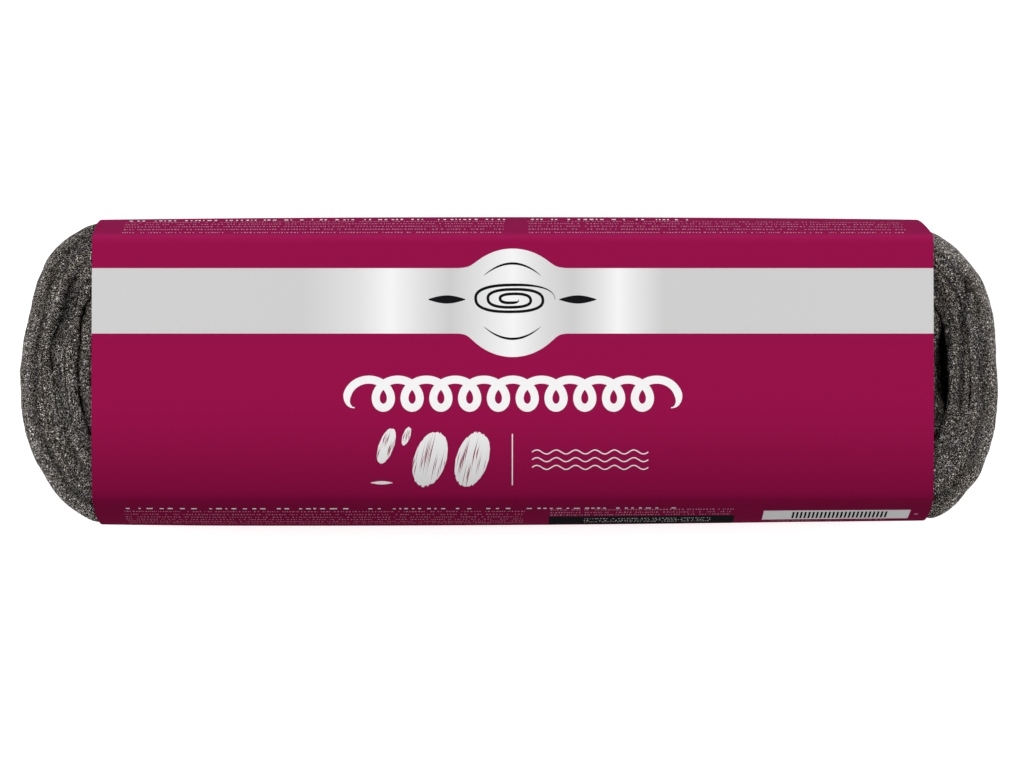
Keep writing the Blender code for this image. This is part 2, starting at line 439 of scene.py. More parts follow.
def noise_node(tree, source, scale):
    """Soft noise of about this many lumps to a metre."""
    node = tree.nodes.new("ShaderNodeTexNoise")
    node.inputs["Scale"].default_value = scale
    node.inputs["Detail"].default_value = 3
    tree.links.new(source, node.inputs["Vector"])
    return node.outputs["Fac"]


def ramp_node(tree, source, *stops):
    """A colour ramp with a (place, colour) stop for each argument."""
    node = tree.nodes.new("ShaderNodeValToRGB")
    ramp = node.color_ramp
    while len(ramp.elements) < len(stops):
        ramp.elements.new(0.5)
    for element, (place, colour) in zip(ramp.elements, stops):
        element.position = place
        element.color = (*colour, 1)
    tree.links.new(source, node.inputs["Fac"])
    return node.outputs["Color"]


def bump_node(tree, shader, source, distance, strength):
    """Relief of this height on the shader, from a source between 0 and 1."""
    node = tree.nodes.new("ShaderNodeBump")
    node.inputs["Distance"].default_value = distance
    node.inputs["Strength"].default_value = strength
    tree.links.new(source, node.inputs["Height"])
    tree.links.new(node.outputs["Normal"], shader.inputs["Normal"])


def cell_node(tree, source, scale):
    """A random value for each small cell of space."""
    node = tree.nodes.new("ShaderNodeTexVoronoi")
    node.inputs["Scale"].default_value = scale
    tree.links.new(source, node.inputs["Vector"])
    split = tree.nodes.new("ShaderNodeSeparateColor")
    tree.links.new(node.outputs["Color"], split.inputs["Color"])
    return split.outputs["Red"]


def value_node(tree, name):
    """A value stored on the mesh's points."""
    node = tree.nodes.new("ShaderNodeAttribute")
    node.attribute_name = name
    return node.outputs["Fac"]


def joined(tree, operation, first, second):
    """Two colours or places put together by a vector operation. The second may be a constant."""
    node = tree.nodes.new("ShaderNodeVectorMath")
    node.operation = operation
    tree.links.new(first, node.inputs[0])
    if isinstance(second, tuple):
        node.inputs[1].default_value = second
    else:
        tree.links.new(second, node.inputs[1])
    return node.outputs["Vector"]


# Cells per metre: the fine grain, and larger cells of which a few become painted glints.
GRAIN_CELLS, GLINT_CELLS = 7000, 3300
CELL_STRETCH = (1, 1, 0.3)
BRIGHTEST = (0.95, 0.93, 0.90)


def steel_mat():
    """Matted steel fibre seen from a step away: fine dark and grey cells and a few painted glints.

    Strands of it are browner or cooler. Painted shade darkens it in the gaps between turns and folds, and
    painted light brightens the outer wall.
    """
    made, tree, shader = new_material("steel_mat", Roughness=0.6, Specular_IOR_Level=0.0)
    place = joined(tree, "MULTIPLY", tree.nodes.new("ShaderNodeTexCoord").outputs["Object"], CELL_STRETCH)
    grain = ramp_node(
        tree,
        cell_node(tree, place, GRAIN_CELLS),
        (0.20, (0.0056, 0.0051, 0.0046)),
        (0.50, (0.0212, 0.0196, 0.0174)),
        (0.80, (0.0860, 0.0790, 0.0700)),
        (0.90, (0.3200, 0.3010, 0.2740)),
        (0.94, (0.9500, 0.9200, 0.8700)),
    )
    # Painted glints: a few larger cells turned nearly white, standing in for light caught on the steel.
    painted_glints = ramp_node(
        tree,
        cell_node(tree, place, GLINT_CELLS),
        (0.972, (0.0, 0.0, 0.0)),
        (0.980, (0.98, 0.96, 0.94)),
    )
    strands = ramp_node(
        tree,
        value_node(tree, "strand"),
        (0.15, (0.64, 0.63, 0.69)),
        (0.85, (0.90, 0.85, 0.79)),
    )
    colour = joined(tree, "MULTIPLY", joined(tree, "MAXIMUM", grain, painted_glints), strands)
    # Painted shade in the gaps and painted light on the outer wall, stored on the mesh's points.
    colour = joined(tree, "MULTIPLY", colour, value_node(tree, "painted_shading"))
    colour = joined(tree, "MINIMUM", colour, BRIGHTEST)
    tree.links.new(colour, shader.inputs["Base Color"])
    return made


WALL_STEPS, DOME_STEPS = 15, 16
GAP_SHADE, STRAND_SHADE = 400, 0.5
STRAND_CELL, STRAND_SEED = (0.014, 0.0008, 0.0010), 7
# Painted light on the outer turn's outer wall: how far its colour is raised, by the level up the wall.
OUTER_WALL_PAINTED_LIGHT = ((0.0, 3.8), (0.7, 3.4), (1.0, 1.6))

share = wound_stations(fine=96, coarse=12, fine_turns=5)
mat_side, mat_level = ribbon_section(WALL_STEPS, DOME_STEPS)
ribbon, ply = wound_ribbon(share, mat_side, mat_level)
folds = fold_rise(ribbon, mat_level)
ribbon = matted(ribbon + np.stack([0 * folds, 0 * folds, folds], axis=-1), ply)
wound = share[:, None] - TAIL_PLACE + TAIL_SHARE
on_outside = wound < 1 + TAIL_SHARE
strand = noise(ply, STRAND_CELL, STRAND_SEED)

# Painted shade darkens the colour in the gaps between turns and folds; painted light brightens the outer
# wall.
painted_shading = np.exp(GAP_SHADE * (folds - crease_fall(wound, mat_side) * (1 + STRAND_SHADE * strand)))
outer_wall_painted_light = np.interp(np.abs(mat_level[: WALL_STEPS + 1]), *np.array(OUTER_WALL_PAINTED_LIGHT).T)
painted_shading[on_outside[:, 0], : WALL_STEPS + 1] *= outer_wall_painted_light
mesh = grid_mesh("steel_wool", ribbon, ring=True, capped=True)
point_value(mesh, "painted_shading", painted_shading)
point_value(mesh, "strand", 0.5 + 0.5 * strand)
coil = piece("steel_wool", mesh, steel_mat())
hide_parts("steel_wool_coil")


# The loose fibres are the cut and crimped ends of the same steel that lie on the coil where it shows. Each
# is a three-sided thread with pointed ends, sunk into the mat at both ends and lifted off it between them.

FIBRES_EACH = 14000
FIBRE_LENGTHS = (0.0008, 0.0024)
FIBRE_LIFTS = (0.00005, 0.00035)
FIBRE_RADII = (0.000020, 0.000042)
FIBRE_SINK = 0.00008
FIBRE_ARCH = 1.15
FIBRE_TURN = 0.8
FIBRE_CRIMP = 0.2
STRAY_SHARE, STRAYS_ON_WALL = 0.12, 3
STRAY_LENGTH, STRAY_LIFT = 1.6, 3.0
WALL_FIBRES = 0.35
MOUTH_OVERLAP = 0.004


def shown_cells(side, upper):
    """Chance of a fibre on each cell of the ribbon's grid: its area where it shows at this end and half."""
    step_down = ribbon[1:] - ribbon[:-1]
    step_across = np.roll(ribbon, -1, axis=1) - ribbon
    area = np.linalg.norm(np.cross(step_down, step_across[:-1]), axis=-1)
    centre = (ribbon[1:] + ribbon[:-1]) / 2
    edge = np.abs(mat_level) == 1
    outside = WALL_FIBRES * (np.arange(len(mat_level)) < WALL_STEPS + 1) * on_outside[:-1]
    past_mouth = (centre[..., 0] - SLEEVE_SHIFT) * side > SLEEVE_LENGTH / 2 - MOUTH_OVERLAP
    half = (centre[..., 2] > COIL_MIDDLE) == upper
    return area * past_mouth * half * np.maximum(edge, outside)


def fibres(side, upper, seed):
    """Fibre mesh of one end's upper or lower half, with each fibre's tone as a point attribute.

    A fibre's middle line is its place on the mat, plus a run with the winding, a sideways crimp, and a lift
    that follows half a sine wave. Two rings of three points stand round it between two pointed ends.
    """
    random = np.random.default_rng(seed)
    chance = shown_cells(side, upper)
    cell = random.choice(chance.size, FIBRES_EACH, p=chance.ravel() / chance.sum())
    row, column = np.unravel_index(cell, chance.shape)
    after = (column + 1) % ribbon.shape[1]
    down, across = random.random((2, FIBRES_EACH, 1))
    near = ribbon[row, column] * (1 - across) + ribbon[row, after] * across
    far = ribbon[row + 1, column] * (1 - across) + ribbon[row + 1, after] * across
    place = near * (1 - down) + far * down
    normal = grid_normals(ribbon)[row, column]
    run = far - near
    run /= np.linalg.norm(run, axis=1, keepdims=True)
    turn = random.normal(0, FIBRE_TURN, (FIBRES_EACH, 1))
    run = run * np.cos(turn) + np.cross(normal, run) * np.sin(turn)
    cross = np.cross(normal, run)
    on_wall = (column < WALL_STEPS)[:, None]
    stray = random.random((FIBRES_EACH, 1)) < STRAY_SHARE * np.where(on_wall, STRAYS_ON_WALL, 1)
    length = random.uniform(*FIBRE_LENGTHS, (FIBRES_EACH, 1)) * np.where(stray, STRAY_LENGTH, 1)
    lift = random.uniform(*FIBRE_LIFTS, (FIBRES_EACH, 1)) * np.where(stray, STRAY_LIFT, 1)
    radius = random.uniform(*FIBRE_RADII, (FIBRES_EACH, 1))
    crimp = random.normal(0, FIBRE_CRIMP, (2, FIBRES_EACH, 1)) * length
    lines = []
    for s, bend in ((0, 0), (1 / 3, crimp[0]), (2 / 3, crimp[1]), (1, 0)):
        rise = lift * math.sin(math.pi * s) * FIBRE_ARCH - FIBRE_SINK
        lines.append(place + run * length * (s - 0.5) + cross * bend + normal * rise)
    rings = []
    for middle in lines[1:3]:
        for angle in (0, 2 * math.pi / 3, 4 * math.pi / 3):
            rings.append(middle + radius * (cross * math.cos(angle) + normal * math.sin(angle)))
    points = np.stack([lines[0], *rings, lines[3]], axis=1)
    cap = [(0, 2, 1), (0, 3, 2), (0, 1, 3), (7, 4, 5), (7, 5, 6), (7, 6, 4)]
    wall = [(1, 2, 5, 4), (2, 3, 6, 5), (3, 1, 4, 6)]
    start = 8 * np.arange(FIBRES_EACH)[:, None, None]
    faces = (start + np.array(cap)).reshape(-1, 3).tolist()
    faces += (start + np.array(wall)).reshape(-1, 4).tolist()
    name = f"wool_fibres_{'right' if side > 0 else 'left'}_{'front' if upper else 'back'}"
    mesh = bpy.data.meshes.new(name)
    mesh.from_pydata(points.reshape(-1, 3), [], faces)
    point_value(mesh, "tone", np.repeat(random.random(FIBRES_EACH), 8))
    # Each fibre takes the painted shade or painted light of the mat under it.
    point_value(mesh, "painted_shading", np.repeat(painted_shading[row, column], 8))
    return mesh


def steel_thread():
    """Steel wire, mostly dark and dull; the near-white top of its tone is a painted glint on a few fibres.
    """
    made, tree, shader = new_material("steel_thread", Metallic=0.6, Roughness=0.4, Specular_IOR_Level=0.1)
    colour = ramp_node(
        tree,
        value_node(tree, "tone"),
        (0.0, (0.008, 0.007, 0.006)),
        (0.55, (0.045, 0.039, 0.032)),
        (0.85, (0.170, 0.155, 0.135)),
        (1.0, (0.900, 0.870, 0.820)),
    )
    # The mat's painted shade and painted light carry onto the fibre.
    colour = joined(tree, "MULTIPLY", colour, value_node(tree, "painted_shading"))
    tree.links.new(colour, shader.inputs["Base Color"])
    return made


thread = steel_thread()
for seed, (side, upper) in enumerate(itertools.product((-1, 1), (True, False))):
    mesh = fibres(side, upper, seed=20 + seed)
    piece(mesh.name, mesh, thread)


# The sleeve is one sheet of coated card, creased round the coil and glued to itself at a lap on the back.
# It is printed crimson outside, with a silver band along the front that swells into a medallion half way.

CARD_THICKNESS = 0.0005
CARD_OFFSET = 0.00055
GLUE_GAP = 0.0003
SLEEVE_BARREL = 0.0008
MOUTH_DRAW, DRAW_REACH = 0.0023, 0.016
CREASE_SHARE = 0.04
CREASE_REACH = 0.0009
SEAM_INSET, LAP_WIDTH, JOGGLE = 0.022, 0.015, 0.003
BAND_Y, BAND_WIDTH = 0.0200, 0.0194
MEDALLION_Y, MEDALLION_RADIUS, MEDALLION_SOFTNESS = 0.0194, 0.0161, 0.0020

# The card's grid: its fine middle reaches past the medallion, and its lines draw closer at the bends.
MEDALLION_GRID = 0.0165
BAND_STEPS = 8
BAND_CLEARANCE, HINGE_INSET = 0.001, 0.0012
BEND_SHARE = 0.45

FOLD_Y = FACE_HALF + CARD_OFFSET
BACK_Z = CARD_THICKNESS / 2


def front_z(y):
    """Z of the middle of the card on the front panel."""
    return COIL_TOP - front_fall(y) + CARD_OFFSET


def crease(start, corner, end):
    """A rounded crease: the quadratic curve from start to end that bends towards the corner."""
    t = np.linspace(0, 1, 11)[:, None]
    return (1 - t) ** 2 * np.array(start) + 2 * t * (1 - t) * np.array(corner) + t**2 * np.array(end)


def section_line():
    """The sleeve's section as (y, z, swell) from the inner flap, round the pad, to the outer flap.

    The swell is how much of the barrel that point takes: none on the flat panels, and a parabola up the
    sides.
    """
    level = np.linspace(CREASE_SHARE - 1, 1 - CREASE_SHARE, 41)
    walls = [
        np.stack([d * (side_reach(level) + CARD_OFFSET), height(d * side_reach(level), level)], axis=1)
        for d in (-1, 1)
    ]
    panel = FOLD_Y - CREASE_REACH
    seam = SEAM_INSET - FOLD_Y
    flap_z = BACK_Z + CARD_THICKNESS + GLUE_GAP
    front = np.linspace(-panel, panel, 81)
    step = np.linspace(0, 1, 7)
    joggle = np.stack([seam - JOGGLE * step, flap_z + (BACK_Z - flap_z) * step**2 * (3 - 2 * step)], axis=1)
    parts = [
        np.array([(seam + LAP_WIDTH, flap_z)]),
        joggle,
        crease((-panel, BACK_Z), (-FOLD_Y, BACK_Z), walls[0][0]),
        walls[0][1:-1],
        crease(walls[0][-1], (-FOLD_Y, front_z(-FOLD_Y)), (-panel, front_z(-panel))),
        np.stack([front, front_z(front)], axis=1)[1:-1],
        crease((panel, front_z(panel)), (FOLD_Y, front_z(FOLD_Y)), walls[1][-1]),
        walls[1][1:-1][::-1],
        crease(walls[1][0], (FOLD_Y, BACK_Z), (panel, BACK_Z)),
        np.array([(seam, BACK_Z)]),
    ]
    line = np.concatenate(parts)
    z_share = np.clip((line[:, 1] - COIL_MIDDLE) / (COIL_TOP - COIL_MIDDLE), -1, 1)
    on_side = np.abs(line[:, 0]) > FOLD_Y - 1e-4
    swell = np.sign(line[:, 0]) * (1 - z_share**2) * on_side
    return np.column_stack([line, swell])


SECTION = section_line()
TRAVEL = np.concatenate([[0], np.cumsum(np.hypot(*np.diff(SECTION[:, :2], axis=0).T))])
OUTWARD = np.gradient(SECTION[:, :2], TRAVEL, axis=0) @ np.array([[0, 1], [-1, 0]])


def on_card(x, v, lift=0.0):
    """Points on the card at X and at v, the way travelled round the section from the inner flap.

    Lift is how far out of the card's middle they stand. The barrel is a parabola in X. The wool draws the
    right mouth of the upper side back: by a parabola over the side, and by a square of the way in from the
    mouth.
    """
    barrel = SLEEVE_BARREL * (1 - ((x - SLEEVE_SHIFT) / (SLEEVE_LENGTH / 2)) ** 2)
    y, z, swell = (np.interp(v, TRAVEL, column) for column in SECTION.T)
    out_y, out_z = (np.interp(v, TRAVEL, column) for column in OUTWARD.T)
    near_mouth = np.clip((x - SLEEVE_SHIFT - SLEEVE_LENGTH / 2) / DRAW_REACH + 1, 0, 1) ** 2
    draw = MOUTH_DRAW * np.maximum(swell, 0) * near_mouth
    y = y + swell * (barrel - squeeze(x, swell)) + lift * out_y
    return np.stack([x - draw, y, z + lift * out_z], axis=-1)


front_part = (SECTION[:, 1] > COIL_TOP - FRONT_DROP) & (np.abs(SECTION[:, 0]) < FOLD_Y - CREASE_REACH / 2)


def travel_at(y):
    """The way round the section to a Y on the front panel."""
    return np.interp(y, SECTION[front_part, 0], TRAVEL[front_part])


def band_edges(x):
    """Lower and upper Y of the silver band: straight, or the medallion's circle where that stands out.

    A soft maximum joins the two, which rounds the inner corners.
    """
    reach = np.clip(MEDALLION_RADIUS**2 - (x - SLEEVE_SHIFT) ** 2, 0, None) ** 0.5
    edges = []
    for way in (-1, 1):
        straight = way * (BAND_Y - MEDALLION_Y) + BAND_WIDTH / 2
        soft = (reach + straight + np.hypot(reach - straight, MEDALLION_SOFTNESS)) / 2
        edges.append(MEDALLION_Y + way * soft)
    return edges


def sleeve_grid():
    """X and v of the card's grid. Its lines follow the band's two edges and gather at the creases."""
    mouth = SLEEVE_LENGTH / 2
    middle = np.sin(np.linspace(-math.pi / 2, math.pi / 2, 73)) * MEDALLION_GRID
    plain = np.linspace(MEDALLION_GRID, mouth, 33)[1:]
    x = SLEEVE_SHIFT + np.concatenate([-plain[::-1], middle, plain])
    low, high = (travel_at(edge) for edge in band_edges(x))
    bends = np.abs(np.diff(OUTWARD, axis=0)).sum(1).cumsum()
    spread = np.concatenate([[0], bends]) / bends[-1] * BEND_SHARE + TRAVEL / TRAVEL[-1]
    below = travel_at(BAND_Y - BAND_WIDTH / 2)
    above = travel_at(BAND_Y + BAND_WIDTH / 2)
    marks = np.interp(np.linspace(0, spread[-1], 150), spread, TRAVEL)
    before = marks[marks < below - BAND_CLEARANCE]
    after = marks[marks > above + BAND_CLEARANCE]
    hinge_low = TRAVEL[front_part][0] + HINGE_INSET
    hinge_high = TRAVEL[front_part][-1] - HINGE_INSET
    columns = []
    for v in before:
        share = np.clip((v - hinge_low) / (below - hinge_low), 0, 1)
        columns.append(v + share * (low - below))
    columns += [low + (high - low) * t for t in np.linspace(0, 1, BAND_STEPS + 1)]
    for v in after:
        share = np.clip((hinge_high - v) / (hinge_high - above), 0, 1)
        columns.append(v + share * (high - above))
    return x, np.stack(columns, axis=1), len(before)


# Painted shade on the inks at a Y on the front panel, darker towards the lower crease: 1 is the full light
# tone.
FRONT_PAINTED_SHADE = (
    (-0.0390, 0.47),
    (-0.0372, 0.60),
    (-0.0322, 0.68),
    (-0.0279, 0.76),
    (-0.0231, 0.84),
    (-0.0171, 0.93),
    (-0.0096, 1.0),
)

# Past the upper crease by the way travelled: a painted highlight, painted shade and a pale painted
# reflection.
CREASE_PAINTED_LIGHT = ((0.0003, 1.27), (0.0012, 1.06), (0.0040, 0.92))
CREASE_PAINTED_REFLECTION = (0.010, 0.0055, 0.018)
CREASE_START, LOWER_SIDE_START = 0.001, 0.004
CRIMSON = np.array((0.308, 0.0066, 0.0675))
# Painted shade over the crimson's lower side.
CRIMSON_LOWER_SIDE_SHADE = 0.43


def shaded_ink_stops(colour, lower_side_shade):
    """Ramp stops over the sheet: painted shade on the lower side and front, painted light past the upper
    crease.
    """
    lower, upper = travel_at(-FOLD_Y), travel_at(FOLD_Y)
    tones = [(lower - LOWER_SIDE_START, np.multiply(colour, lower_side_shade))]
    tones += [(travel_at(y), np.multiply(colour, tone)) for y, tone in FRONT_PAINTED_SHADE]
    tones += [(upper - CREASE_START, np.array(colour))]
    tones += [(upper + step, np.multiply(colour, tone) + CREASE_PAINTED_REFLECTION) for step, tone in CREASE_PAINTED_LIGHT]
    return [(v / TRAVEL[-1], tuple(tone)) for v, tone in tones]


def sheet_node(tree, axis):
    """The card's own flat place, as a share of its length (X) or width (Y)."""
    uv = tree.nodes.new("ShaderNodeUVMap")
    uv.uv_map = "sheet"
    split = tree.nodes.new("ShaderNodeSeparateXYZ")
    tree.links.new(uv.outputs["UV"], split.inputs["Vector"])
    return split.outputs[axis]


def shaded_ink_colour(tree, shader, colour, lower_side_shade):
    """The shader's colour over the sheet's own width: the ink with its painted shade and painted light."""
    tone = ramp_node(tree, sheet_node(tree, "Y"), *shaded_ink_stops(colour, lower_side_shade))
    tree.links.new(tone, shader.inputs["Base Color"])


def crimson_card():
    """Coated card printed crimson, with painted shade towards the lower crease and painted light at the
    upper.
    """
    made, tree, shader = new_material("crimson_card", Metallic=0.02, Roughness=0.5, Specular_IOR_Level=0.0)
    shaded_ink_colour(tree, shader, CRIMSON, CRIMSON_LOWER_SIDE_SHADE)
    place = tree.nodes.new("ShaderNodeTexCoord").outputs["Object"]
    bump_node(tree, shader, noise_node(tree, place, 900), distance=0.00002, strength=0.6)
    return made


# Grey of the silver print by X: three light bars with troughs between them.
SILVER_TONES = (
    (-0.0620, 0.595),
    (-0.0450, 0.720),
    (-0.0355, 0.885),
    (-0.0260, 0.720),
    (-0.0176, 0.585),
    (-0.0100, 0.700),
    (0.0012, 0.885),
    (0.0110, 0.680),
    (0.0192, 0.592),
    (0.0260, 0.710),
    (0.0328, 0.885),
    (0.0390, 0.745),
    (0.0463, 0.595),
)


def silver_card():
    """Silver print on the same card, with three soft lighter bars printed across its middle."""
    made, tree, shader = new_material("silver_card", Metallic=0.1, Roughness=0.42, Specular_IOR_Level=0.15)
    start = SLEEVE_SHIFT - SLEEVE_LENGTH / 2
    stops = [((x - start) / SLEEVE_LENGTH, (tone, tone, tone)) for x, tone in SILVER_TONES]
    tree.links.new(ramp_node(tree, sheet_node(tree, "X"), *stops), shader.inputs["Base Color"])
    return made


def raw_card():
    """The unprinted inside and cut edges of the card: warm grey board."""
    made, tree, shader = new_material("raw_card", Roughness=0.8)
    place = tree.nodes.new("ShaderNodeTexCoord").outputs["Object"]
    fleck = noise_node(tree, place, 1500)
    colour = ramp_node(tree, fleck, (0.3, (0.50, 0.47, 0.43)), (0.7, (0.62, 0.59, 0.55)))
    tree.links.new(colour, shader.inputs["Base Color"])
    return made


def sheet_map(mesh, x, v):
    """A UV map with the card's own flat place of each point, as shares of its length and width."""
    u = (x - SLEEVE_SHIFT) / SLEEVE_LENGTH + 0.5
    w = v / TRAVEL[-1]
    corner = np.zeros(len(mesh.loops), np.int32)
    mesh.loops.foreach_get("vertex_index", corner)
    places = np.stack([u.ravel(), w.ravel()], axis=1)[corner]
    mesh.uv_layers.new(name="sheet").data.foreach_set("uv", places.ravel())


sleeve_x, sleeve_v, band_column = sleeve_grid()
mesh = grid_mesh("card_sleeve_print", on_card(sleeve_x[:, None], sleeve_v))
sheet_map(mesh, sleeve_x[:, None] + 0 * sleeve_v, sleeve_v)
column = np.arange(len(mesh.polygons)) % (sleeve_v.shape[1] - 1)
silver = ((column >= band_column) & (column < band_column + BAND_STEPS)).astype(np.int32)
card_board = raw_card()
sleeve = piece("card_sleeve_print", mesh, crimson_card(), silver_card(), card_board, card_board)
mesh.polygons.foreach_set("material_index", silver)
board = sleeve.modifiers.new("card", "SOLIDIFY")
board.thickness = CARD_THICKNESS
board.offset = 0
board.material_offset = 2
board.material_offset_rim = 2
sleeve.modifiers.new("cut_edges", "EDGE_SPLIT").split_angle = math.radians(40)
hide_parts("card_sleeve")


# The print on the sleeve is plain marks in white and black ink: strands and dabs on the front, and rows of
# ticks, a black panel and a white one on the sides. Each mark is a thin patch that follows the card.

INK_LIFT = CARD_THICKNESS / 2 + 0.00002
INK_THICKNESS = 0.00002
OVERPRINT_LIFT = 0.00003
CROSSING_LIFT = 0.000006


def stroke(x, y, half_width, lift=0.0):
    """A mark on the front panel: a line of X and Y widened to both sides by half_width."""
    x, y, half_width, lift = np.broadcast_arrays(x, y, half_width, lift)
    dx, dy = np.gradient(x), np.gradient(y)
    length = np.hypot(dx, dy)
    across = np.array([1, -1])
    wide_x = x[:, None] + across * (half_width * dy / length)[:, None]
    wide_y = y[:, None] - across * (half_width * dx / length)[:, None]
    return wide_x, travel_at(wide_y), (INK_LIFT + lift)[:, None] + 0 * wide_x


def patch(x_span, v_span, steps, lift=0.0):
    """A rectangle on any part of the card, between two X and two v."""
    x, v = np.meshgrid(np.linspace(*x_span, steps + 1), np.linspace(*v_span, steps + 1), indexing="ij")
    return x, v, INK_LIFT + lift + 0 * x


def printed(name, marks, finish):
    """One piece of printed marks, each a grid of X, v and lift, given the thickness of the ink."""
    points, faces, flat = [], [], []
    start = 0
    for x, v, lift in marks:
        rows, columns = x.shape
        index = start + np.arange(rows * columns).reshape(rows, columns)
        quad = np.stack([index[:-1, :-1], index[1:, :-1], index[1:, 1:], index[:-1, 1:]], axis=-1)
        points.append(on_card(x, v, lift).reshape(-1, 3))
        flat.append(np.stack([x.ravel(), v.ravel()]))
        faces += quad.reshape(-1, 4).tolist()
        start += rows * columns
    mesh = bpy.data.meshes.new(name)
    mesh.from_pydata(np.concatenate(points), [], faces)
    sheet_map(mesh, *np.concatenate(flat, axis=1))
    made = piece(name, mesh, finish)
    film = made.modifiers.new("ink", "SOLIDIFY")
    film.thickness = INK_THICKNESS
    film.offset = 0


def thin_ends(t):
    """Share of a line's full width along it: it grows evenly from both ends."""
    return np.clip(np.minimum(t, t[-1] - t) / 1.5, 0.15, 1)


def coiled_strand(span, y, radius, half_width, loops):
    """A strand coiled along a line: a point on a circle that rolls on by less than it turns."""
    t = np.linspace(0, 2 * math.pi * loops, 64 * loops + 1)
    left, right = span[0] + radius, span[1] - radius
    x = left + (right - left) * t / t[-1] - radius * np.sin(t)
    return stroke(x, y - radius * np.cos(t), half_width * thin_ends(t), CROSSING_LIFT * np.sin(t))


def wavy_strand(span, y, height, waves, half_width):
    """A fine strand: a sine wave along a line."""
    x = np.linspace(*span, 24 * waves + 1)
    angle = 2 * math.pi * waves * (x - span[0]) / (span[1] - span[0])
    return stroke(x, y + height * np.sin(angle), half_width)


def brush_dab(centre, half_width, half_height, lean, bristles, seed):
    """A leaning ellipse as a flat brush leaves it: streaks side by side along its height, with ragged ends.

    Most streaks narrow somewhere by a bell curve, which leaves a long thin slit beside them.
    """
    random = np.random.default_rng(seed)
    edges = np.linspace(-1, 1, bristles + 1)
    along = np.linspace(-1, 1, 25)[:, None]
    streaks = []
    for u in np.stack([edges[:-1], edges[1:]], axis=1):
        foot, top = random.uniform(0.93, 1, 2)
        t = along * np.sqrt(np.clip(1 - u * u, 0, 1)) * np.where(along < 0, foot, top)
        dry = random.uniform(0.3, 0.9) if random.random() < 0.65 else 0
        slit = dry * np.exp(-(((along - random.uniform(-0.7, 0.5)) / random.uniform(0.2, 0.5)) ** 2))
        x = centre[0] + half_width * (u - (u[1] - u[0]) * slit * (0, 1)) + lean * half_height * t
        streaks.append((x, travel_at(centre[1] + half_height * t), INK_LIFT + 0 * x))
    return streaks


def tick_row(span, v, height, pitch, seed, lift=0.0):
    """A row of small print as plain ticks of unequal width, with a space after every few."""
    random = np.random.default_rng(seed)
    steps = pitch * random.uniform(0.6, 1.4, round((span[1] - span[0]) / pitch))
    ends = span[0] + np.cumsum(steps)
    starts = ends - steps * random.uniform(0.3, 0.6, len(steps))
    tops = v + height * random.uniform(0.7, 1, len(steps))
    kept = (random.random(len(steps)) > 0.16) & (ends < span[1])
    ticks = np.stack([starts, ends, tops], axis=1)[kept]
    return [patch((start, end), (v, top), 1, lift) for start, end, top in ticks]


def spiral(centre, half_width, half_height, turns, half_stroke):
    """A flat coil seen from its end: a superellipse that shrinks evenly as it turns, with thin ends."""
    t = np.linspace(0, 2 * math.pi * turns, 48 * turns + 1)
    size = 1 - 0.86 * t / t[-1]
    cos, sin = np.cos(t), np.sin(t)
    x = centre[0] + half_width * size * np.sign(cos) * np.abs(cos) ** 0.8
    y = centre[1] + half_height * size * np.sign(sin) * np.abs(sin) ** 0.8
    return stroke(x, y, half_stroke * thin_ends(t))


def tapered_bar(x_start, x_end, y, half_width):
    """A bar that swells to its middle as half a sine wave does."""
    t = np.linspace(0, 1, 17)
    return stroke(x_start + (x_end - x_start) * t, y, half_width * (0.12 + np.sin(math.pi * t)))


def bow(centre, half_width, rise, half_stroke):
    """A shallow arc over or under the ornament, thickest at its middle."""
    t = np.linspace(-1, 1, 33)
    return stroke(centre[0] + half_width * t, centre[1] + rise * (1 - t**2), half_stroke * (1.15 - t**2))


on_side = (np.abs(SECTION[:, 0]) > FOLD_Y) & (SECTION[:, 1] > COIL_MIDDLE)
LOWER_TOP = TRAVEL[on_side & (SECTION[:, 0] < 0)].max()
UPPER_TOP = TRAVEL[on_side & (SECTION[:, 0] > 0)].min()

# Places of the print. A side's rows and panels are set out by their distance from its top edge, and a dab
# by its centre, half width, half height, lean and number of streaks.
DABS = (
    ((-0.0235, -0.0274), 0.0050, 0.0084, 0.22, 24),
    ((-0.0109, -0.0274), 0.0050, 0.0084, 0.22, 24),
    ((-0.0366, -0.0234), 0.0024, 0.0054, 0.30, 12),
    ((-0.0306, -0.0205), 0.0012, 0.0028, 0.30, 8),
)
HAIRLINES = (-0.0252, -0.0275, -0.0298)
TICK_PITCH = 0.0008
HEAD_TICK, UPPER_TICK, LOWER_TICK, OVER_BLACK_TICK, ON_BLACK_TICK = 0.0018, 0.0007, 0.0006, 0.0008, 0.0005
TEXT_LEFT, TEXT_RIGHT = (-0.1163, -0.0010), (0.0055, 0.1200)
UPPER_ROWS = (0.0015, 0.0042, 0.0069, 0.0096, 0.0123)
LOWER_TEXT = (-0.1163, 0.0050)
LOWER_ROWS = (0.0070, 0.0092, 0.0114, 0.0136, 0.0158, 0.0180)
HEAD_ROW = 0.0150
WHITE_PANEL, WHITE_PANEL_ROWS = (0.0770, 0.1213), (0.0168, 0.0074)
BLACK_PANEL, BLACK_PANEL_ROWS = (0.0122, 0.0684), (0.0215, 0.0112)
OVER_BLACK_ROWS = (0.0062, 0.0082, 0.0102)
ON_BLACK, ON_BLACK_STEP = (0.0225, 0.0620), 0.0075
BARS, BARS_START, BAR_PITCH, BAR_WIDTH = 24, 0.0858, 0.00122, 0.0006
BAR_ROWS = (0.0152, 0.0086)


def lower_patch(x_span, rows, steps, lift=0.0):
    """A rectangle on the lower side, between two X and two distances from the side's top edge."""
    return patch(x_span, (LOWER_TOP - rows[0], LOWER_TOP - rows[1]), steps, lift)


